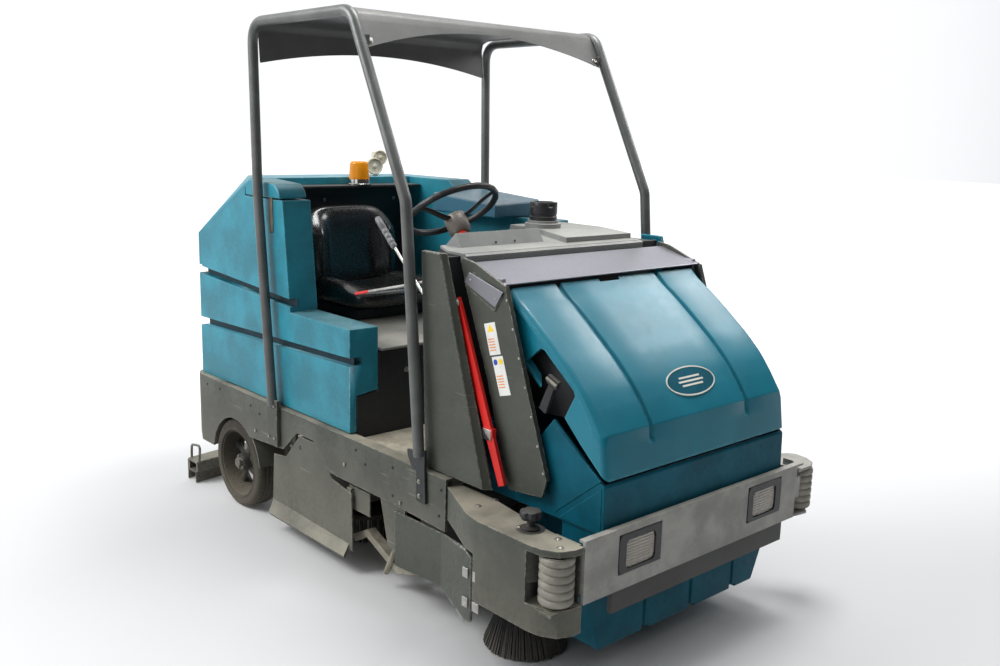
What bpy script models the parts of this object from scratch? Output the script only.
"""Ride-on floor sweeper-scrubber with an overhead guard.

X runs across the machine (the driver's right-hand side is -X), Y runs fore and aft
(front at -Y) and Z is up from the floor.  Stations along Y are measured from the
machine datum; at the end everything is moved so that the origin is the bottom
centre of the overall bounding box.
"""
import math

import bmesh
import bpy
from mathutils import Matrix, Vector

# ---- driving dimensions (metres) -------------------------------------------
DATUM_SHIFT = (0.0, -0.100, 0.0)        # machine datum to bounding-box centre

FRAME_HALF = 0.583                      # outer face of the frame side plates
FRAME_TOP = 0.540
FRAME_REAR = 1.290
FRAME_FRONT = -0.578
PLATE = 0.008
REAR_CORNER_R = 0.090
FLOOR_Z = 0.520

WHEEL_Y, WHEEL_R, WHEEL_W = 0.892, 0.197, 0.118
FRONT_WHEEL_Y, FRONT_WHEEL_R = -0.020, 0.165

TANK_HALF = 0.560
TANK_INNER = 0.434
TANK_BOTTOM = 0.543
TANK_TOP = 1.432
TANK_REAR = 1.233
TANK_FRONT = 0.020
LOW_TOP = 0.938                         # top of the low arm beside the driver
GROOVE_DEPTH = 0.028

DECK_Z = 0.8585
CONSOLE_TOP = 1.272
CONSOLE_PLATE = 1.291

POST_X = 0.596
POST_R = 0.0195
ROOF_Z = 2.068

PANEL_X = 0.4865                        # inner face of the hopper side panels
HOOD_HALF = 0.464
BIN_HALF = 0.407
BUMPER_FRONT = -1.197
ROLLER = (0.622, -1.140)
ROLLER_R = 0.0525
SIDE_BRUSH = (-0.410, -0.800)

WHEEL_TILT = math.radians(34.4)
STEER_CENTRE = Vector((0.0, 0.128, 1.348))
STEER_AXIS = Vector((0.0, math.sin(WHEEL_TILT), math.cos(WHEEL_TILT)))
STEER_R = 0.187
ESTOP_BASE = STEER_CENTRE - STEER_AXIS * 0.135
ESTOP_OUT = Vector((-0.640, -0.634, 0.434))

DOOR_PIVOT = (-0.6838, -0.8345)
BEACON = (0.105, 0.943)
BRUSH_Y, BRUSH_Z = -0.460, 0.155
HANGER = [(-0.190, 0.400), (-0.246, 0.190), (-0.345, 0.190), (-0.345, 0.400)]

# ---- colours ---------------------------------------------------------------
TEAL = (0.02, 0.24, 0.31)
GREY = (0.17, 0.17, 0.165)
LIGHT = (0.40, 0.40, 0.38)
DARK = (0.02, 0.02, 0.022)
CREAM = (0.50, 0.46, 0.38)
STEEL = (0.35, 0.34, 0.32)
RED = (0.70, 0.02, 0.015)
AMBER = (0.90, 0.36, 0.01)


# ---- helpers ---------------------------------------------------------------
def clear_scene():
    for obj in list(bpy.data.objects):
        bpy.data.objects.remove(obj)


def finish(name, bm, colour, rough=0.5, metal=0.0):
    """Turn a bmesh into a named object with its own Principled material."""
    bmesh.ops.recalc_face_normals(bm, faces=bm.faces)
    mesh = bpy.data.meshes.new(name)
    bm.to_mesh(mesh)
    bm.free()
    obj = bpy.data.objects.new(name, mesh)
    bpy.context.scene.collection.objects.link(obj)
    mat = bpy.data.materials.new(name)
    mat.use_nodes = True
    shader = mat.node_tree.nodes["Principled BSDF"]
    shader.inputs["Base Color"].default_value = (*colour, 1.0)
    shader.inputs["Roughness"].default_value = rough
    shader.inputs["Metallic"].default_value = metal
    mesh.materials.append(mat)
    return obj


def point(axis, a, b, c):
    """Place profile coordinates (a, b) at height c along the extrusion axis."""
    return {"x": (c, a, b), "y": (a, c, b), "z": (a, b, c)}[axis]


def prism(outline, axis, start, end):
    """Extrude a closed outline between two stations of an axis."""
    bm = bmesh.new()
    low = [bm.verts.new(point(axis, a, b, start)) for a, b in outline]
    high = [bm.verts.new(point(axis, a, b, end)) for a, b in outline]
    bm.faces.new(low)
    bm.faces.new(high[::-1])
    for i in range(len(outline)):
        j = (i + 1) % len(outline)
        bm.faces.new((low[i], low[j], high[j], high[i]))
    return bm


def box(x0, x1, y0, y1, z0, z1):
    return prism([(x0, y0), (x1, y0), (x1, y1), (x0, y1)], "z", z0, z1)


def loft(rings):
    """Join rings of equal length into one closed solid."""
    bm = bmesh.new()
    rows = [[bm.verts.new(p) for p in ring] for ring in rings]
    bm.faces.new(rows[0])
    bm.faces.new(rows[-1][::-1])
    for a, b in zip(rows, rows[1:]):
        for i in range(len(a)):
            j = (i + 1) % len(a)
            bm.faces.new((a[i], a[j], b[j], b[i]))
    return bm


def frustum(base, z0, top, z1):
    """Tapered block from two (x0, x1, y0, y1) rectangles."""
    def ring(rect, z):
        x0, x1, y0, y1 = rect
        return [(x0, y0, z), (x1, y0, z), (x1, y1, z), (x0, y1, z)]
    return loft([ring(base, z0), ring(top, z1)])


def basis(axis):
    """Two unit vectors square to an axis."""
    axis = Vector(axis).normalized()
    side = Vector((1, 0, 0)) if abs(axis.x) < 0.9 else Vector((0, 0, 1))
    u = side.cross(axis).normalized()
    return u, axis.cross(u)


def lathe(profile, centre, axis, segments=32):
    """Revolve (radius, height) points; a zero radius at both ends closes the axis."""
    axis = Vector(axis).normalized()
    u, v = basis(axis)
    centre = Vector(centre)
    bm = bmesh.new()
    rings = []
    for r, h in profile:
        base = centre + axis * h
        if r < 1e-6:
            rings.append([bm.verts.new(base)])
            continue
        rings.append([bm.verts.new(base + (u * math.cos(t) + v * math.sin(t)) * r)
                      for t in (2 * math.pi * k / segments for k in range(segments))])
    closed = len(rings[0]) > 1
    pairs = list(zip(rings, rings[1:])) + ([(rings[-1], rings[0])] if closed else [])
    for a, b in pairs:
        for k in range(segments):
            n = (k + 1) % segments
            if len(a) == 1:
                bm.faces.new((a[0], b[k], b[n]))
            elif len(b) == 1:
                bm.faces.new((a[k], b[0], a[n]))
            else:
                bm.faces.new((a[k], b[k], b[n], a[n]))
    return bm


def disc(radius, centre, axis, low, high, segments=24):
    return lathe([(0, low), (radius, low), (radius, high), (0, high)], centre, axis, segments)


def ring(inner, outer, centre, axis, low, high, segments=24):
    return lathe([(inner, low), (outer, low), (outer, high), (inner, high)],
                 centre, axis, segments)


def rounded_path(points, radius, steps=4):
    """Replace each inner corner of a polyline with a short arc."""
    points = [Vector(p) for p in points]
    path = [points[0]]
    for before, corner, after in zip(points, points[1:], points[2:]):
        a, b = (before - corner).normalized(), (after - corner).normalized()
        half = a.angle(b) / 2
        reach = min(radius / math.tan(half), (before - corner).length * 0.45,
                    (after - corner).length * 0.45)
        start, end = corner + a * reach, corner + b * reach
        for k in range(steps + 1):
            t = k / steps
            path.append(start.lerp(corner, t).lerp(corner.lerp(end, t), t))
    path.append(points[-1])
    return path


def tube(points, radius, bend=0.0, segments=12, steps=4):
    """Round bar along a path with bent corners."""
    path = rounded_path(points, bend, steps) if bend else [Vector(p) for p in points]
    tangents = []
    for i, _ in enumerate(path):
        ahead = path[min(i + 1, len(path) - 1)] - path[max(i - 1, 0)]
        tangents.append(ahead.normalized())
    u, _ = basis(tangents[0])
    rings = []
    for here, tangent in zip(path, tangents):
        u = (u - tangent * u.dot(tangent)).normalized()
        v = tangent.cross(u)
        rings.append([here + (u * math.cos(t) + v * math.sin(t)) * radius
                      for t in (2 * math.pi * k / segments for k in range(segments))])
    return loft(rings)


def sheet(rows, thickness):
    """Closed sheet of a given thickness below a grid of surface points."""
    rows = [[Vector(p) for p in row] for row in rows]
    n, m = len(rows), len(rows[0])

    def normal(i, j):
        du = rows[min(i + 1, n - 1)][j] - rows[max(i - 1, 0)][j]
        dv = rows[i][min(j + 1, m - 1)] - rows[i][max(j - 1, 0)]
        return du.cross(dv).normalized()

    bm = bmesh.new()
    top = [[bm.verts.new(rows[i][j]) for j in range(m)] for i in range(n)]
    low = [[bm.verts.new(rows[i][j] - normal(i, j) * thickness) for j in range(m)]
           for i in range(n)]
    for i in range(n - 1):
        for j in range(m - 1):
            bm.faces.new((top[i][j], top[i + 1][j], top[i + 1][j + 1], top[i][j + 1]))
            bm.faces.new((low[i][j], low[i][j + 1], low[i + 1][j + 1], low[i + 1][j]))
    edge = ([(0, j) for j in range(m)] + [(i, m - 1) for i in range(1, n)]
            + [(n - 1, j) for j in range(m - 2, -1, -1)] + [(i, 0) for i in range(n - 2, 0, -1)])
    for (a, b), (c, d) in zip(edge, edge[1:] + edge[:1]):
        bm.faces.new((top[a][b], top[c][d], low[c][d], low[a][b]))
    return bm


def boolean(obj, bm, mode):
    """Join or cut with a helper solid that is hidden from the model."""
    tool = finish(obj.name + "_tool", bm, GREY)
    tool.hide_render = True
    mod = obj.modifiers.new("shape", "BOOLEAN")
    mod.operation = mode
    mod.solver = "EXACT"
    mod.object = tool
    return obj


def cut(obj, *solids):
    for bm in solids:
        boolean(obj, bm, "DIFFERENCE")
    return obj


def join(obj, *solids):
    for bm in solids:
        boolean(obj, bm, "UNION")
    return obj


def bevel(obj, width, segments=1, angle=35):
    mod = obj.modifiers.new("edge", "BEVEL")
    mod.width = width
    mod.segments = segments
    mod.limit_method = "ANGLE"
    mod.angle_limit = math.radians(angle)
    mod.use_clamp_overlap = True
    weld = obj.modifiers.new("weld", "WELD")
    weld.merge_threshold = 0.0001
    return obj


def arc(cx, cy, radius, start, end, count):
    """Points on a circle between two angles in degrees."""
    return [(cx + radius * math.cos(math.radians(start + (end - start) * k / count)),
             cy + radius * math.sin(math.radians(start + (end - start) * k / count)))
            for k in range(count + 1)]


def offset(line, distance):
    """Shift an open 2-D polyline sideways by a distance (to its left)."""
    out = []
    for i, p in enumerate(line):
        a, b = line[max(i - 1, 0)], line[min(i + 1, len(line) - 1)]
        dx, dy = b[0] - a[0], b[1] - a[1]
        size = math.hypot(dx, dy)
        out.append((p[0] - dy / size * distance, p[1] + dx / size * distance))
    return out


def mirror(outline):
    return [(-a, b) for a, b in outline][::-1]


# ---- chassis ---------------------------------------------------------------
def plan_ring(inset):
    """Half-open plan of the frame, rounded at both rear corners."""
    x, rear, r = FRAME_HALF - inset, FRAME_REAR - inset, REAR_CORNER_R - min(inset, 0.06)
    return ([(x, FRAME_FRONT - (0.1 if inset else 0))]
            + arc(x - r, rear - r, r, 0, 90, 5) + arc(-x + r, rear - r, r, 90, 180, 5)
            + [(-x, FRAME_FRONT - (0.1 if inset else 0))])


def side_opening():
    """Everything below the frame's lower edge, seen from the side."""
    wheel = arc(WHEEL_Y, 0.195, 0.206, 130.6, 13, 10)
    return ([(-0.70, 0.10), (-0.70, 0.353), (-0.298, 0.367), (0.122, 0.367), (0.243, 0.466),
             (0.363, 0.466), (0.475, 0.370)] + wheel + [(1.100, 0.10)])


def chassis_frame():
    frame = finish("chassis_frame", prism(plan_ring(0), "z", 0.228, FRAME_TOP), GREY, 0.6, 0.3)
    cut(frame, prism(plan_ring(PLATE), "z", 0.10, FRAME_TOP - PLATE),
        prism(plan_ring(0.050), "z", 0.50, 0.60),
        prism(side_opening(), "x", -0.75, 0.75),
        prism([(1.202, 0.20), (1.34, 0.20), (1.34, 0.44), (1.296, 0.44)], "x", -0.75, 0.75))
    edge = FRAME_HALF - 0.003
    for y0, y1, z0 in ((-0.575, -0.545, 0.380), (-0.060, 0.020, 0.440),
                       (0.580, 0.640, 0.480), (0.830, 0.950, 0.480)):
        join(frame, box(-edge, edge, y0, y1, z0, 0.511))
    for side in (-1, 1):
        join(frame, box(side * 0.444, side * 0.450, 0.660, 1.120, 0.250, 0.511),
             box(side * 0.400, side * 0.445, 0.840, 0.940, 0.160, 0.490),
             disc(0.020, (0, WHEEL_Y, WHEEL_R), (1, 0, 0), *sorted((side * 0.405, side * 0.574)), 20),
             box(side * 0.560, side * 0.578, 1.140, 1.190, 0.250, 0.500),
             prism(arc(WHEEL_Y, WHEEL_R, 0.213, 9, 171, 18) + arc(WHEEL_Y, WHEEL_R, 0.207, 171, 9, 18),
                   "x", *sorted((side * 0.447, side * 0.578))),
             prism(HANGER, "x", *sorted((side * 0.5660, side * 0.5755))))
    return frame


def floor_plate():
    plate = finish("floor_plate", box(-0.527, 0.527, -0.480, 0.018, 0.512, FLOOR_Z), STEEL, 0.6, 0.4)
    return bevel(plate, 0.002)


def seat_box():
    outline = [(-0.526, 0.513), (0.526, 0.513), (0.526, 0.680), (0.430, 0.692), (0.430, 0.845),
               (-0.430, 0.845), (-0.430, 0.692), (-0.526, 0.680)]
    body = finish("seat_box", prism(outline, "y", 0.022, 0.980), DARK, 0.6)
    return bevel(body, 0.004)


def seat_deck():
    return bevel(finish("seat_deck", box(-0.430, 0.430, 0.0, 0.980, 0.8465, DECK_Z), LIGHT, 0.55), 0.003)


def arm_section(side, top):
    """Cross-section of a tank arm: stepped underneath to clear the seat box."""
    line = [(-TANK_HALF, TANK_BOTTOM + 0.002), (-0.530, TANK_BOTTOM + 0.002), (-0.530, 0.684),
            (-TANK_INNER, 0.697), (-TANK_INNER, top), (-TANK_HALF, top)]
    return line if side < 0 else mirror(line)


def corner_slope():
    """Half-space that bevels the upper rear near corner of the tank."""
    a = Vector((-TANK_HALF, 1.216, 1.189))
    along, inward = Vector((0, -0.472, 0.243)), Vector((0.090, 0, 0.090))
    out = along.cross(inward).normalized()
    out = out if out.z > 0 else -out
    low = [a - along * 2 - inward * 3, a + along * 2.2 - inward * 3,
           a + along * 2.2 + inward * 4, a - along * 2 + inward * 4]
    return loft([low, [p + out * 0.5 for p in low]])


def groove(rear_low, rear_high, front_low, front_high, front):
    """Rubbing groove down the near side and round the rear of the tank."""
    outer, inner = -TANK_HALF - 0.04, -TANK_HALF + GROOVE_DEPTH
    side = prism([(front, front_low), (TANK_REAR + 0.05, rear_low),
                  (TANK_REAR + 0.05, rear_high), (front, front_high)], "x", outer, inner)
    back = box(-TANK_HALF - 0.05, TANK_HALF + 0.05, TANK_REAR - GROOVE_DEPTH, TANK_REAR + 0.04,
               rear_low - 0.002, rear_high + 0.002)
    return side, back


def rear_tank():
    tank = finish("rear_tank", prism(arm_section(-1, LOW_TOP), "y", TANK_FRONT, 1.10), TEAL, 0.35)
    high = [(0.442, 0.90), (0.442, 0.957), (0.488, 1.374), (0.790, 1.374), (0.790, TANK_TOP),
            (1.10, TANK_TOP), (1.10, 0.90)]
    join(tank, prism(high, "x", -TANK_HALF, -TANK_INNER),
         box(-TANK_HALF, TANK_HALF, 1.002, TANK_REAR, TANK_BOTTOM - 0.002, TANK_TOP))
    cut(tank, corner_slope())
    bevel(tank, 0.012, 2, 60)
    cut(tank, *groove(1.005, 1.038, 0.958, 0.990, 0.425), *groove(0.765, 0.800, 0.800, 0.832, 0.0))
    cut(tank, box(-TANK_HALF - 0.04, -0.500, TANK_FRONT - 0.03, TANK_FRONT + GROOVE_DEPTH, 0.800, 0.832))
    return tank


def tank_lid():
    outline = [(0.778, 1.3795), (0.500, 1.3795), (0.512, 1.412), (0.545, 1.436), (0.740, 1.446),
               (0.778, 1.425)]
    lid = finish("tank_lid", prism(outline, "x", -0.566, -0.440), TEAL, 0.35)
    return bevel(lid, 0.008, 2)


def bulkhead_shelf():
    wall = finish("bulkhead_shelf", box(-0.4295, 0.4295, 0.984, 0.998, 0.860, 1.400), DARK, 0.6)
    return join(wall, box(-0.4295, 0.4295, 0.900, 0.990, 1.388, 1.400))


def engine_cover():
    cover = finish("engine_cover", prism(arm_section(1, 1.295), "y", TANK_FRONT, 0.998), TEAL, 0.35)
    high = [(0.650, 1.20), (0.650, 1.400), (0.690, TANK_TOP), (0.998, TANK_TOP), (0.998, 1.20)]
    join(cover, prism(high, "x", TANK_INNER, TANK_HALF))
    return bevel(cover, 0.012, 2)


def side_cover():
    front, rear = 0.205, 0.640
    outline = [(0.300, 1.2965), (0.562, 1.2965), (0.562, 1.372), (0.500, 1.360), (0.300, 1.352)]
    raised = [(x, z + (0.028 if z > 1.3 else 0)) for x, z in outline]
    cover = finish("side_cover", loft([[(x, front, z) for x, z in outline],
                                       [(x, rear, z) for x, z in raised]]), (0.10, 0.20, 0.28), 0.4)
    return bevel(cover, 0.008, 2)


def console_deck():
    """Stepped deck: a front strip with a lip, a low ridge and a raised plate for the filler."""
    strip = [(-0.475, -0.520), (0.402, -0.520), (0.411, -0.463), (0.500, -0.227), (0.500, 0.016),
             (0.210, 0.016), (0.190, -0.171), (0.050, -0.300), (-0.398, -0.300), (-0.470, -0.430)]
    plate = [(0.060, -0.458), (0.409, -0.463), (0.497, -0.227), (0.497, 0.013), (0.213, 0.013),
             (0.193, -0.171)]
    lip = [(-0.502, 1.240), (-0.532, 1.240), (-0.532, 1.264), (-0.524, 1.2705), (-0.502, 1.2705)]
    ridge = [(-0.394, 1.268), (-0.366, 1.320), (-0.308, 1.268)]
    deck = finish("console_deck", prism(strip, "z", 1.2635, CONSOLE_TOP), GREY, 0.5)
    return join(deck, prism(lip, "x", -0.4745, 0.4015), prism(plate, "z", 1.268, CONSOLE_PLATE),
                prism(ridge, "x", -0.385, 0.010),
                lathe([(0, 1.280), (0.072, 1.280), (0.072, 1.308), (0.062, 1.310), (0.062, 1.320),
                       (0, 1.320)], (0.260, -0.130, 0), (0, 0, 1), 28))


def filler_cap():
    cap = finish("filler_cap", disc(0.055, (0.260, -0.130, 0), (0, 0, 1), 1.3205, 1.392, 28), DARK, 0.5)
    cut(cap, disc(0.040, (0.260, -0.130, 0), (0, 0, 1), 1.372, 1.400, 24))
    for k in range(4):
        turn = math.radians(20 + 90 * k)
        x, y = 0.260 + 0.055 * math.cos(turn), -0.130 + 0.055 * math.sin(turn)
        cut(cap, disc(0.014, (x, y, 0), (0, 0, 1), 1.378, 1.400, 12))
    return join(cap, disc(0.012, (0.260, -0.130, 1.352), (0.9, 0.44, 0), 0.050, 0.068, 12))


def front_bulkhead():
    wall = finish("front_bulkhead", box(-0.527, 0.527, -0.498, -0.488, 0.5125, 1.2625), DARK, 0.6)
    dash = [(-0.490, 1.2625), (-0.300, 1.2625), (-0.235, 1.170), (-0.260, 1.090), (-0.490, 1.060)]
    return join(wall, prism(dash, "x", -0.400, 0.500), box(-0.514, -0.472, -0.490, -0.405, 1.070, 1.112),
                box(-0.500, -0.470, -0.490, -0.430, 1.165, 1.195))


def fairing(side, colour):
    """Tapered pillar cover: flat outer face, front edge folded inwards."""
    def section(back, fold, front, z):
        return [(side * x, y, z) for x, y in
                ((0.560, back), (0.560, fold), (0.534, front), (0.530, front + 0.005),
                 (0.540, fold + 0.012), (0.540, back))]
    name = "fairing_near" if side < 0 else "fairing_far"
    cover = finish(name, loft([section(-0.437, -0.733, -0.757, 0.5445),
                               section(-0.402, -0.500, -0.508, 1.276)]), colour, 0.55)
    return bevel(cover, 0.003)


# ---- overhead guard --------------------------------------------------------
def guard_hoop(side):
    x = side * POST_X
    path = [(x, 0.530, 0.5435), (x, 0.614, 1.377), (x, 0.632, 2.048), (x, -0.052, 2.052),
            (x, -0.365, 1.436), (x, -0.450, 0.590)]
    name = "guard_hoop_near" if side < 0 else "guard_hoop_far"
    hoop = finish(name, tube(path, POST_R, 0.085, 12), GREY, 0.5, 0.4)
    inner, outer = sorted((side * (FRAME_HALF + 0.0005), side * 0.600))
    join(hoop, box(inner, outer, 0.492, 0.572, 0.375, 0.570))
    foot = [(-0.477, 0.615), (-0.425, 0.600), (-0.380, 0.598), (-0.384, 0.575), (-0.410, 0.535),
            (-0.432, 0.535), (-0.432, 0.428), (-0.484, 0.428), (-0.478, 0.536)]
    return join(hoop, prism(foot, "x", *sorted((side * (FRAME_HALF + 0.0005), side * 0.594))))


def roof_rows():
    """Front valance, flat top and rear valance; the valance edges arch upwards."""
    rows = []
    half, columns = POST_X - POST_R - 0.001, 10
    for k in range(15):
        row = []
        for c in range(columns + 1):
            x = -half + 2 * half * c / columns
            arch = 1 - (x / half) ** 2
            front_low, rear_low = 1.925 + 0.088 * arch, 1.895 + 0.062 * arch
            row.append((x, *roof_point(k, front_low, rear_low)))
        rows.append(row)
    return rows


def roof_point(k, front_low, rear_low):
    """Station k of 0..14 round the roof's fore-and-aft section."""
    if k < 5:
        z = front_low + (2.022 - front_low) * k / 4
        return -0.045 + (z - 2.06) * 0.50, z
    if k > 9:
        z = 2.022 + (rear_low - 2.022) * (k - 10) / 4
        return 0.634 - (2.022 - z) * 0.10, z
    turn = {5: (-0.048, 2.046), 6: (-0.020, ROOF_Z - 0.004), 7: (0.290, ROOF_Z),
            8: (0.590, ROOF_Z - 0.004), 9: (0.626, 2.050)}
    return turn[k]


def guard_roof():
    return finish("guard_roof", sheet(roof_rows(), 0.0035), GREY, 0.55, 0.3)


# ---- steering and cab ------------------------------------------------------
def steering_column():
    low = STEER_CENTRE - STEER_AXIS * 0.940
    column = finish("steering_column",
                    tube([low, STEER_CENTRE - STEER_AXIS * 0.110], 0.024, segments=16), DARK, 0.5)
    join(column, box(-0.060, 0.060, low.y - 0.060, low.y + 0.070, FLOOR_Z + 0.0005, low.z + 0.030),
         disc(0.018, ESTOP_BASE, ESTOP_OUT, 0.0, 0.0335, 20))
    return cut(column, disc(0.0105, ESTOP_BASE, ESTOP_OUT, 0.0255, 0.060, 20))


def steering_wheel():
    rim_profile = [(STEER_R + 0.013 * math.cos(t), 0.013 * math.sin(t))
                   for t in (2 * math.pi * k / 7 for k in range(7))]
    wheel = finish("steering_wheel", lathe(rim_profile, STEER_CENTRE, STEER_AXIS, 32), DARK, 0.45)
    u, v = basis(STEER_AXIS)
    hub = STEER_CENTRE - STEER_AXIS * 0.045
    for angle in (40, 160, 280):
        out = u * math.cos(math.radians(angle)) + v * math.sin(math.radians(angle))
        join(wheel, tube([hub + out * 0.015, hub + out * 0.075 + STEER_AXIS * 0.018,
                          STEER_CENTRE + out * (STEER_R - 0.002)], 0.0095, 0.03, 8, 3))
    return join(wheel, lathe([(0, -0.108), (0.040, -0.108), (0.046, -0.060), (0.046, -0.030),
                              (0.030, -0.022), (0, -0.022)], STEER_CENTRE, STEER_AXIS, 24))


def estop_button():
    return finish("estop_button", lathe([(0, 0.0305), (0.010, 0.0305), (0.010, 0.0385), (0.021, 0.0395),
                                         (0.021, 0.047), (0.012, 0.054), (0, 0.054)],
                                        ESTOP_BASE, ESTOP_OUT, 20), RED, 0.35)


def seat_base():
    base = finish("seat_base", box(-0.200, 0.200, 0.500, 0.840, DECK_Z + 0.001, 0.9055), DARK, 0.6)
    return bevel(base, 0.006)


def seat_cushion():
    outline = [(0.432, 0.912), (0.425, 0.945), (0.445, 0.985), (0.500, 1.000), (0.700, 0.985),
               (0.820, 0.990), (0.830, 0.912), (0.780, 0.906), (0.480, 0.906)]
    cushion = finish("seat_cushion", prism(outline, "x", -0.245, 0.245), DARK, 0.4)
    join(cushion, *[prism([(0.560, 0.930), (0.620, 1.015), (0.775, 1.030), (0.828, 0.930)],
                          "x", *sorted((side * 0.185, side * 0.246))) for side in (-1, 1)])
    return bevel(cushion, 0.012, 2)


def seat_back():
    side_view = [(0.842, 0.940), (0.834, 1.060), (0.862, 1.270), (0.884, 1.312), (0.915, 1.312),
                 (0.926, 1.270), (0.918, 0.940)]
    back = finish("seat_back", prism(side_view, "x", -0.238, 0.238), DARK, 0.4)
    bolster = [(0.780, 1.060), (0.770, 1.120), (0.845, 1.270), (0.905, 1.290), (0.905, 0.960),
               (0.842, 0.960)]
    join(back, *[prism(bolster, "x", *sorted((side * 0.165, side * 0.240))) for side in (-1, 1)])
    return bevel(back, 0.012, 2)


def pedal(name, x0, x1):
    side_view = [(-0.240, 0.5225), (-0.228, 0.530), (-0.400, 0.628), (-0.412, 0.618)]
    return finish(name, prism(side_view, "x", x0, x1), DARK, 0.6, 0.3)


def brake_lever():
    lever = finish("brake_lever", tube([(-0.5205, -0.420, 1.078), (-0.5205, -0.235, 1.232),
                                        (-0.5205, -0.180, 1.281)], 0.0055, segments=10), STEEL, 0.3, 0.8)
    return join(lever, tube([(-0.5205, -0.200, 1.263), (-0.5205, -0.095, 1.357)], 0.0120, segments=12),
                disc(0.014, (-0.5205, -0.400, 1.0945), (1, 0, 0), -0.0055, 0.006, 16))


def throttle_lever():
    lever = finish("throttle_lever", tube([(-0.5065, -0.445, 1.183), (-0.5065, -0.220, 1.128),
                                           (-0.5065, 0.060, 1.062)], 0.0055, segments=10), RED, 0.4)
    return join(lever, disc(0.013, (-0.5065, -0.440, 1.181), (1, 0, 0), -0.006, 0.006, 16))


# ---- lights and warning pieces ---------------------------------------------


def beacon_base():
    base = finish("beacon_base", lathe([(0, 1.4005), (0.056, 1.4005), (0.056, 1.406), (0.050, 1.426),
                                        (0, 1.426)], (*BEACON, 0), (0, 0, 1), 28), STEEL, 0.25, 0.9)
    return base


def beacon_lens():
    profile = [(0.0, 1.4265), (0.030, 1.4265), (0.047, 1.4265), (0.047, 1.445), (0.043, 1.498),
               (0.036, 1.506), (0.0, 1.508)]
    return finish("beacon_lens", lathe(profile, (*BEACON, 0), (0, 0, 1), 28), AMBER, 0.2)


def horn_pair():
    horn = finish("horn_pair", box(0.290, 0.310, 1.085, 1.110, TANK_TOP + 0.001, 1.545), CREAM, 0.6, 0.3)
    toward = (-0.30, -0.95, 0.0)
    return join(horn, disc(0.040, (0.285, 1.085, 1.478), toward, -0.010, 0.024, 24),
                disc(0.036, (0.320, 1.085, 1.518), toward, -0.012, 0.010, 24))


def headlight(side):
    name = "headlight_near" if side < 0 else "headlight_far"
    x0, x1 = sorted((side * 0.228, side * 0.424))
    lamp = finish(name, box(x0, x1, -1.200, -1.176, 0.383, 0.509), DARK, 0.4)
    lx0, lx1 = (x0 + 0.033, x1 - 0.029) if side < 0 else (x0 + 0.029, x1 - 0.033)
    cut(lamp, box(lx0, lx1, -1.220, -1.190, 0.398, 0.484))
    return join(lamp, box(lx0 + 0.003, lx1 - 0.003, -1.1955, -1.185, 0.401, 0.481))


# ---- front bumper and corners ----------------------------------------------
def corner_plate(side, z0, z1):
    """Outline of the corner cover: flares out from the frame, rounds at the front."""
    line = [(0.5255, -0.582), (0.577, -0.582), (0.676, -0.792), (0.690, -0.860), (0.690, -1.085),
            (0.682, -1.135), (0.655, -1.178), (0.610, -1.197), (0.5755, -1.197), (0.5755, -1.130),
            (0.563, -0.970), (0.5255, -0.750)]
    return prism([(side * x, y) for x, y in line], "z", z0, z1)


def corner_wall(inset, z0, z1):
    line = [(0.40, -0.50), (0.577 - inset, -0.50), (0.577 - inset, -0.582), (0.676 - inset, -0.792),
            (0.690 - inset, -0.860), (0.690 - inset, -1.085), (0.682 - inset, -1.135 + inset * 0.6),
            (0.655 - inset * 0.7, -1.178 + inset * 0.8), (0.610, -1.197 + inset),
            (0.40, -1.197 + inset)]
    return prism([(-x, y) for x, y in line], "z", z0, z1)


def side_brush_housing():
    rx, ry = ROLLER
    house = finish("side_brush_housing", corner_plate(-1, 0.250, 0.515), GREY, 0.6, 0.2)
    cut(house, corner_wall(0.006, 0.20, 0.507),
        prism([(-0.80, 0.10), (-0.8405, 0.10), (-0.8405, 0.402), (-0.50, 0.402), (-0.50, 0.10)],
              "x", -0.80, -0.40),
        box(-0.80, -0.560, -1.300, -1.078, 0.335, 0.495))
    join(house, box(-0.686, -0.559, -1.180, -1.060, 0.322, 0.3305),
         disc(0.009, (-rx, ry, 0), (0, 0, 1), 0.326, 0.512, 16),
         box(-0.5815, -0.5765, -1.030, -0.600, 0.440, 0.512), box(-0.566, -0.559, -1.172, -1.070, 0.326, 0.510),
         box(-0.5800, -0.5620, -0.820, -0.780, 0.360, 0.510), box(-0.579, -0.380, -0.820, -0.780, 0.360, 0.385),
         disc(0.055, (*SIDE_BRUSH, 0), (0, 0, 1), 0.2365, 0.400, 18))
    return house


def height_knob():
    centre = (-0.604, -1.005, 0)
    knob = finish("height_knob", lathe([(0, 0.5155), (0.028, 0.5155), (0.028, 0.522), (0.012, 0.526),
                                        (0.012, 0.545), (0.034, 0.550), (0.034, 0.572), (0, 0.576)],
                                       centre, (0, 0, 1), 24), DARK, 0.5)
    for k in range(6):
        turn = math.radians(60 * k)
        cut(knob, disc(0.007, (centre[0] + 0.037 * math.cos(turn), centre[1] + 0.037 * math.sin(turn), 0),
                       (0, 0, 1), 0.546, 0.590, 10))
    return knob


def bumper_roller(side):
    name = "bumper_roller_near" if side < 0 else "bumper_roller_far"
    profile = [(0.0095, 0.340)]
    for k in range(6):
        z = 0.340 + 0.025 * k
        profile += [(ROLLER_R - 0.0025, z), (ROLLER_R, z + 0.004), (ROLLER_R, z + 0.021)]
    profile += [(ROLLER_R - 0.004, 0.490), (ROLLER_R - 0.012, 0.490), (ROLLER_R - 0.012, 0.482),
                (0.0095, 0.482)]
    return finish(name, lathe(profile, (side * ROLLER[0], ROLLER[1], 0), (0, 0, 1), 18), CREAM, 0.6)


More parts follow.
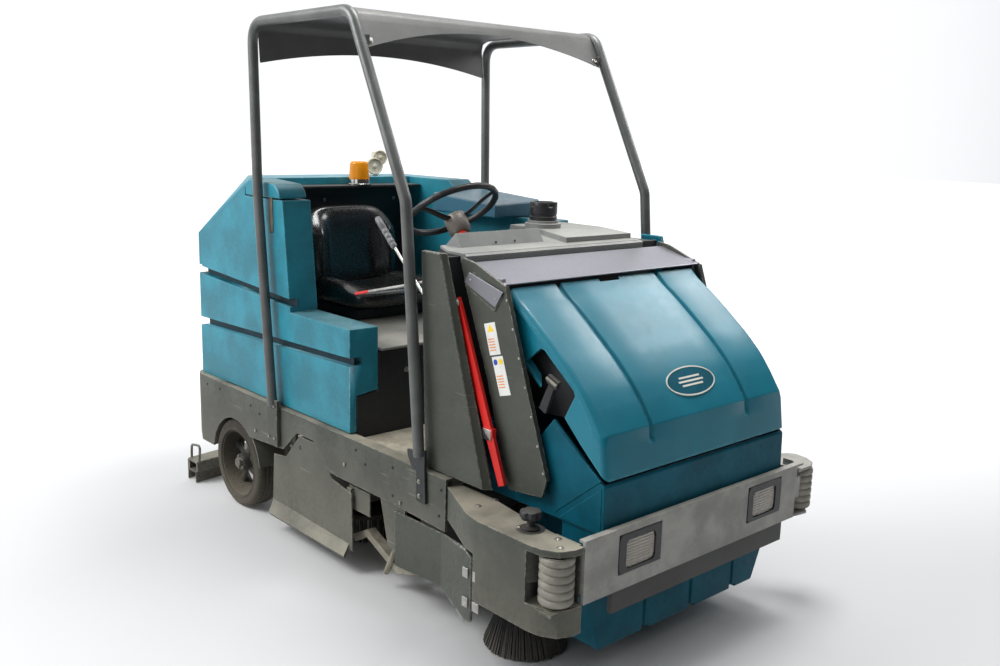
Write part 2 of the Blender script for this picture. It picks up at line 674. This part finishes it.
def bumper_bar():
    rx, ry = ROLLER
    bar = finish("bumper_bar", box(-0.571, 0.5225, BUMPER_FRONT, BUMPER_FRONT + 0.010, 0.334, 0.530),
                 LIGHT, 0.6)
    join(bar, box(-0.571, 0.560, BUMPER_FRONT, -1.173, 0.522, 0.530),
         prism([(0.5223, -1.197), (0.560, -1.165), (0.560, -1.120), (0.550, -1.120), (0.550, -1.160),
                (0.5223, -1.186)], "z", 0.334, 0.530),
         box(-0.566, -0.530, -1.190, -1.175, 0.360, 0.500),
         box(-0.556, -0.530, -1.190, -0.5765, 0.445, 0.485), box(0.530, 0.560, -1.190, -0.5765, 0.400, 0.480),
         prism([(0.535, -1.195), (0.610, -1.197), (0.655, -1.178), (0.682, -1.135), (0.690, -1.085),
                (0.672, -1.060), (0.560, -1.000), (0.535, -1.000)], "z", 0.498, 0.508),
         prism([(0.535, -1.160), (0.560, -1.180), (0.622, -1.190), (0.665, -1.150), (0.665, -1.100),
                (0.560, -1.000), (0.535, -1.000)], "z", 0.322, 0.3305),
         box(0.535, 0.545, -1.160, -1.000, 0.325, 0.500),
         disc(0.009, (rx, ry, 0), (0, 0, 1), 0.326, 0.503, 16))
    for side in (-1, 1):
        x0, x1 = sorted((side * 0.2275, side * 0.4245))
        cut(bar, box(x0, x1, -1.30, -1.175, 0.3825, 0.5095))
    return bar


def bumper_lip():
    lip = finish("bumper_lip", box(-0.437, 0.460, -1.190, -1.182, 0.262, 0.3335), DARK, 0.7)
    return join(lip, box(-0.437, -0.425, -1.184, -1.172, 0.262, 0.350),
                box(0.448, 0.460, -1.184, -1.172, 0.262, 0.350))


# ---- brush door, side brush ------------------------------------------------


def brush_door():
    """Folded door: flat panel behind the frame line, then flared out to the hinge."""
    px, py = DOOR_PIVOT
    flat = finish("brush_door", loft([
        [(-0.583, -0.298, 0.140), (-0.583, -0.562, 0.158), (-0.577, -0.562, 0.158), (-0.577, -0.298, 0.140)],
        [(-0.583, -0.298, 0.345), (-0.583, -0.562, 0.348), (-0.577, -0.562, 0.348), (-0.577, -0.298, 0.345)]]),
        GREY, 0.6, 0.2)
    flare = loft([
        [(-0.5832, -0.560, 0.158), (-0.672, -0.790, 0.150), (-0.685, -0.834, 0.172), (-0.679, -0.834, 0.172),
         (-0.666, -0.790, 0.150), (-0.5770, -0.560, 0.158)],
        [(-0.5832, -0.560, 0.348), (-0.672, -0.790, 0.398), (-0.685, -0.834, 0.380), (-0.679, -0.834, 0.380),
         (-0.666, -0.790, 0.398), (-0.5770, -0.560, 0.348)]])
    return join(flat, flare, disc(0.0055, (px, py, 0), (0, 0, 1), 0.180, 0.372, 12))


def side_brush():
    profile = [(0.0, 0.120), (0.060, 0.110), (0.075, 0.002), (0.144, 0.004), (0.118, 0.115),
               (0.100, 0.145), (0.030, 0.152), (0.030, 0.235), (0.0, 0.235)]
    return finish("side_brush", lathe(profile, (*SIDE_BRUSH, 0), (0, 0, 1), 26), DARK, 0.8)


# ---- hopper module ---------------------------------------------------------
HOOD_CURVE = [(-0.728, 1.184), (-0.766, 1.151), (-0.811, 1.121), (-0.856, 1.089), (-0.900, 1.056),
              (-0.942, 1.023), (-0.985, 0.989), (-1.026, 0.952), (-1.064, 0.914), (-1.103, 0.868),
              (-1.146, 0.808), (-1.157, 0.740), (-1.166, 0.672)]


def hopper_body():
    mid = [(-0.620, 0.505), (-1.168, 0.505), (-1.164, 0.655), (-0.945, 0.815), (-0.880, 0.740),
           (-0.620, 0.740)]
    low_front = -1.119
    section = [(-BIN_HALF, 0.100), (BIN_HALF, 0.100), (0.452, 0.205), (0.452, 0.530), (-0.452, 0.530),
               (-0.452, 0.205)]
    rear = [(-0.222, 0.100)] + section[1:4] + [(-0.222, 0.530)]
    body = finish("hopper_body", prism(mid, "x", -HOOD_HALF, HOOD_HALF), TEAL, 0.35)
    join(body, prism(section, "y", low_front, -0.985), prism(rear, "y", -1.000, -0.640))
    bevel(body, 0.007, 2)
    inner = [(-0.640, 0.53), (-1.156, 0.53), (-1.150, 0.90), (-0.640, 0.90)]
    hollow = [(-0.392, 0.112), (0.392, 0.112), (0.440, 0.215), (0.440, 0.60), (-0.440, 0.60), (-0.440, 0.215)]
    behind = [(-0.210, 0.112)] + hollow[1:4] + [(-0.210, 0.60)]
    cut(body, prism(inner, "x", -0.452, 0.452), prism(hollow, "y", low_front + 0.014, -0.999),
        prism(behind, "y", -1.010, -0.656))
    cut(body, box(-0.190, 0.390, -0.700, -0.600, 0.150, 0.300))
    for x in (-0.195, 0.045, 0.280):
        cut(body, box(x - 0.009, x + 0.009, low_front - 0.02, low_front + 0.007, 0.05, 0.40),
            box(x - 0.009, x + 0.030, low_front - 0.02, low_front + 0.05, 0.05, 0.112))
    return body


def hood():
    """Shell that follows the curved front; the sides stop at the latch recess."""
    curve = HOOD_CURVE
    outer = curve + [(-0.985, 0.826), (-1.022, 0.900), (-0.875, 1.022), (-0.798, 0.960), (-0.742, 1.060)]
    inside = offset(curve[1:-1], 0.012)
    hollow = [(inside[0][0] + 0.016, inside[0][1])] + inside + [
        (curve[-1][0] + 0.012, 0.60), (-0.60, 0.60), (-0.60, inside[0][1])]
    shell = finish("hood", prism(outer, "x", -HOOD_HALF, HOOD_HALF), TEAL, 0.35)
    bevel(shell, 0.007, 2)
    cut(shell, prism(hollow, "x", -HOOD_HALF + 0.012, HOOD_HALF - 0.012))
    for x in (-0.247, 0.247):
        band = curve[:-2] + [(-1.175, 0.770)]
        out = offset(band, -0.02)
        cut(shell, prism(out + offset(band, 0.007)[::-1], "x", x - 0.007, x + 0.007))
    return cut(shell, box(-0.055, 0.045, -0.730, -0.706, 1.1, 1.3))


def side_panel(side):
    """Steel cheek of the hopper with a folded front flange and a small flap."""
    plate = [(-0.530, 1.244), (-0.536, 1.262), (-0.590, 1.254), (-0.744, 1.196), (-0.954, 0.623), (-0.937, 0.566),
             (-0.790, 0.549), (-0.767, 0.591), (-0.672, 0.884), (-0.572, 1.129)]
    name = "hopper_panel_near" if side < 0 else "hopper_panel_far"
    panel = finish(name, prism(plate, "x", *sorted((side * PANEL_X, side * (PANEL_X + 0.008)))), GREY, 0.6, 0.2)
    flange = [(-0.738, 1.190), (-0.744, 1.196), (-0.954, 0.623), (-0.948, 0.620)]
    join(panel, prism(flange, "x", *sorted((side * 0.4780, side * (PANEL_X + 0.004)))))
    x0, x1 = side * (PANEL_X + 0.006), side * (PANEL_X + 0.010)
    flap = loft([[(x0, -0.591, 1.223), (x0, -0.737, 1.159), (x0, -0.701, 1.110), (x0, -0.556, 1.172)],
                 [(x1, -0.591, 1.223), (x1, -0.737, 1.159), (side * 0.4995, -0.701, 1.112),
                  (side * 0.4995, -0.556, 1.174)]])
    return join(panel, flap)


def cross_panel():
    profile = [(-0.548, 1.239), (-0.552, 1.247), (-0.726, 1.203), (-0.734, 1.199), (-0.731, 1.1945)]
    panel = finish("cross_panel", prism(profile, "x", -0.486, 0.486), (0.30, 0.28, 0.30), 0.45)
    return join(panel, box(-0.486, -0.470, -0.720, -0.600, 1.150, 1.215),
                box(0.470, 0.486, -0.720, -0.600, 1.150, 1.215))


def hood_latch():
    """Rubber T latch lying in the side recess of the hood."""
    along = Vector((0, -0.055, 0.128)).normalized()
    wide = Vector((0, along.z, -along.y)) * 0.016
    foot = Vector((0, -0.905, 0.832))

    def section(distance, width, x0, x1):
        centre, w = foot + along * distance, wide * width
        return [centre + w + Vector((x0, 0, 0)), centre - w + Vector((x0, 0, 0)),
                centre - w + Vector((x1, 0, 0)), centre + w + Vector((x1, 0, 0))]
    latch = finish("hood_latch", loft([section(0.0, 1, -0.476, -0.466), section(0.090, 0.8, -0.476, -0.466),
                                       section(0.096, 1.5, -0.480, -0.466), section(0.122, 1.5, -0.480, -0.466)]),
                   DARK, 0.7)
    return latch


def support_bar():
    top, low = Vector((-0.520, -0.549, 1.120)), Vector((-0.520, -0.786, 0.566))
    run = (low - top).normalized()
    side = Vector((0, -run.z, run.y))

    def section(t, half):
        centre = top + run * t
        return [centre + side * half + Vector((-0.006, 0, 0)), centre - side * half + Vector((-0.006, 0, 0)),
                centre - side * half + Vector((0.006, 0, 0)), centre + side * half + Vector((0.006, 0, 0))]
    length = (low - top).length
    bar = finish("support_bar", loft([section(-0.015, 0.014), section(0.05, 0.017),
                                      section(length - 0.16, 0.017), section(length, 0.014)]), RED, 0.4)
    centre = top + run * (length - 0.175)
    return join(bar, disc(0.011, top, (1, 0, 0), -0.0085, 0.0085, 14),
                box(centre.x - 0.0085, centre.x + 0.0085, centre.y - 0.022, centre.y + 0.022,
                    centre.z - 0.014, centre.z + 0.014))


# ---- running gear ----------------------------------------------------------
def front_fork():
    fork = finish("front_fork", box(-0.072, 0.072, FRONT_WHEEL_Y - 0.05, FRONT_WHEEL_Y + 0.05, 0.350, 0.366),
                  GREY, 0.5, 0.5)
    for side in (-1, 1):
        inner, outer = sorted((side * 0.062, side * 0.072))
        join(fork, box(inner, outer, FRONT_WHEEL_Y - 0.03, FRONT_WHEEL_Y + 0.03, 0.130, 0.360))
    return join(fork, disc(0.035, (0, FRONT_WHEEL_Y, 0), (0, 0, 1), 0.360, 0.4395, 20),
                disc(0.012, (0, FRONT_WHEEL_Y, FRONT_WHEEL_R), (1, 0, 0), -0.066, 0.066, 16))


def front_wheel():
    r = FRONT_WHEEL_R
    profile = [(0.0128, -0.050), (r - 0.014, -0.050), (r, -0.036), (r, 0.036), (r - 0.014, 0.050),
               (0.0128, 0.050)]
    return finish("front_wheel", lathe(profile, (0, FRONT_WHEEL_Y, r), (1, 0, 0), 26), DARK, 0.8)


def rear_wheel(side):
    """Solid tyre on a deep spoked rim."""
    name = "rear_wheel_near" if side < 0 else "rear_wheel_far"
    centre = (side * 0.519, WHEEL_Y, WHEEL_R)
    half, r = WHEEL_W / 2, WHEEL_R
    tyre = [(0.144, -half), (0.158, -half), (0.164, -half + 0.004), (r - 0.012, -half + 0.004),
            (r, -half + 0.018), (r, half - 0.018), (r - 0.012, half - 0.004), (0.164, half - 0.004),
            (0.158, half), (0.144, half), (0.139, half - 0.012), (0.139, -half + 0.012)]
    wheel = finish(name, lathe(tyre, centre, (1, 0, 0), 28), DARK, 0.8)
    join(wheel, ring(0.0208, 0.046, centre, (1, 0, 0), -0.045, 0.045, 24))
    for k in range(5):
        turn = math.radians(90 + 72 * k)
        out = Vector((0, math.cos(turn), math.sin(turn)))
        across = Vector((0, -out.z, out.y)) * 0.017
        start, end = Vector(centre) + out * 0.036, Vector(centre) + out * 0.142
        lean = Vector((side * 0.010, 0, 0))
        rings = [[p + across + Vector((d, 0, 0)), p - across + Vector((d, 0, 0)),
                  p - across + Vector((d + 0.016, 0, 0)), p + across + Vector((d + 0.016, 0, 0))]
                 for p, d in ((start, -0.008), (end, -0.008))]
        join(wheel, loft([[p + lean for p in row] for row in rings]))
    return wheel


def main_brush():
    profile = [(0.0135, -0.400), (0.150, -0.400), (0.150, 0.400), (0.0135, 0.400)]
    return finish("main_brush", lathe(profile, (0, BRUSH_Y, BRUSH_Z), (1, 0, 0), 32), (0.05, 0.05, 0.05), 0.9)


def brush_arm():
    path = [(0.040, 0.118), (-0.045, 0.165), (-0.236, 0.085), (BRUSH_Y, BRUSH_Z)]
    low, high = offset(path, 0.015), offset(path, -0.015)
    arm = finish("brush_arm", tube([(-0.505, BRUSH_Y, BRUSH_Z), (0.505, BRUSH_Y, BRUSH_Z)], 0.012, segments=12),
                 CREAM, 0.5, 0.3)
    for side in (-1, 1):
        join(arm, prism(low + high[::-1], "x", *sorted((side * 0.492, side * 0.530))),
             tube([(side * 0.534, -0.262, 0.215), (side * 0.534, -0.178, 0.055)], 0.011, segments=12))
    return join(arm, tube([(-0.498, -0.235, 0.086), (0.498, -0.235, 0.086)], 0.011, segments=12))


def scrub_head():
    head = finish("scrub_head", box(-0.500, 0.500, 0.175, 0.560, 0.180, 0.205), GREY, 0.6, 0.2)
    plate = [(0.566, 0.325), (0.468, 0.338), (0.363, 0.450), (0.228, 0.450), (0.123, 0.339), (-0.007, 0.317),
             (-0.013, 0.091), (0.582, 0.118)]
    for side in (-1, 1):
        join(head, prism(plate, "x", *sorted((side * 0.567, side * 0.573))),
             box(*sorted((side * 0.495, side * 0.569)), 0.200, 0.500, 0.182, 0.203),
             box(*sorted((side * 0.550, side * 0.556)), -0.103, 0.030, 0.253, 0.342),
             box(*sorted((side * 0.552, side * 0.569)), 0.002, 0.028, 0.255, 0.335),
             loft([[(side * 0.568, 0.580, 0.100), (side * 0.568, 0.010, 0.090), (side * 0.572, 0.010, 0.116),
                    (side * 0.572, 0.580, 0.126)],
                   [(side * 0.600, 0.560, 0.066), (side * 0.600, -0.004, 0.066), (side * 0.607, -0.004, 0.078),
                    (side * 0.607, 0.560, 0.078)]]))
    return head


def scrub_brush(side):
    name = "scrub_brush_near" if side < 0 else "scrub_brush_far"
    profile = [(0, 0.090), (0.070, 0.085), (0.085, 0.003), (0.225, 0.003), (0.222, 0.110), (0.090, 0.125),
               (0.060, 0.175), (0, 0.175)]
    return finish(name, lathe(profile, (side * 0.240, 0.365, 0), (0, 0, 1), 28), (0.06, 0.06, 0.06), 0.9)


def squeegee_line(shift, count=8):
    """Plan curve of the rear squeegee, its ends swept forward."""
    return [(x, 1.3515 + 0.058 * (1 - (x / 0.600) ** 2) + shift)
            for x in (-0.600 + 1.2 * k / count for k in range(count + 1))]


def strip(start, end, z0, z1):
    return prism(squeegee_line(start) + squeegee_line(end)[::-1], "z", z0, z1)


def squeegee_carrier():
    carrier = finish("squeegee_carrier", strip(-0.110, -0.020, 0.098, 0.108), GREY, 0.5, 0.5)
    join(carrier, strip(-0.030, -0.018, 0.060, 0.104), strip(-0.112, -0.100, 0.060, 0.104))
    for side in (-1, 1):
        x = side * 0.585
        join(carrier, tube([(x, 1.250, 0.102), (x, 1.235, 0.188), (x, 1.325, 0.172), (x, 1.330, 0.102)],
                           0.006, 0.02, 8, 3),
             box(*sorted((side * 0.150, side * 0.166)), 1.090, 1.330, 0.104, 0.128),
             box(*sorted((side * 0.150, side * 0.166)), 1.090, 1.116, 0.110, 0.215))
    return join(carrier, disc(0.010, (0, 1.103, 0.200), (1, 0, 0), -0.170, 0.170, 14))


def squeegee_blade():
    blade = finish("squeegee_blade", strip(-0.0175, -0.0095, 0.003, 0.100), DARK, 0.8)
    join(blade, strip(-0.096, -0.088, 0.003, 0.0575), strip(-0.096, -0.010, 0.050, 0.0595))
    return blade


# ---- assembly --------------------------------------------------------------
def build():
    clear_scene()
    for maker in (chassis_frame, floor_plate, seat_box, seat_deck, rear_tank, tank_lid, bulkhead_shelf,
                  engine_cover, side_cover, console_deck, filler_cap, front_bulkhead, guard_roof,
                  steering_column, steering_wheel, estop_button, seat_base, seat_cushion, seat_back,
                  brake_lever, throttle_lever, beacon_base, beacon_lens, horn_pair, bumper_bar, bumper_lip,
                  side_brush_housing, height_knob, brush_door, side_brush, hopper_body, hood, cross_panel,
                  hood_latch, support_bar, front_fork, front_wheel, main_brush, brush_arm, scrub_head,
                  squeegee_carrier, squeegee_blade):
        maker()
    fairing(-1, GREY)
    fairing(1, TEAL)
    pedal("drive_pedal", 0.100, 0.190)
    pedal("brake_pedal", -0.190, -0.100)
    for side in (-1, 1):
        for maker in (guard_hoop, headlight, bumper_roller, side_panel, rear_wheel, scrub_brush):
            maker(side)
    for obj in bpy.data.objects:
        obj.location = DATUM_SHIFT


build()
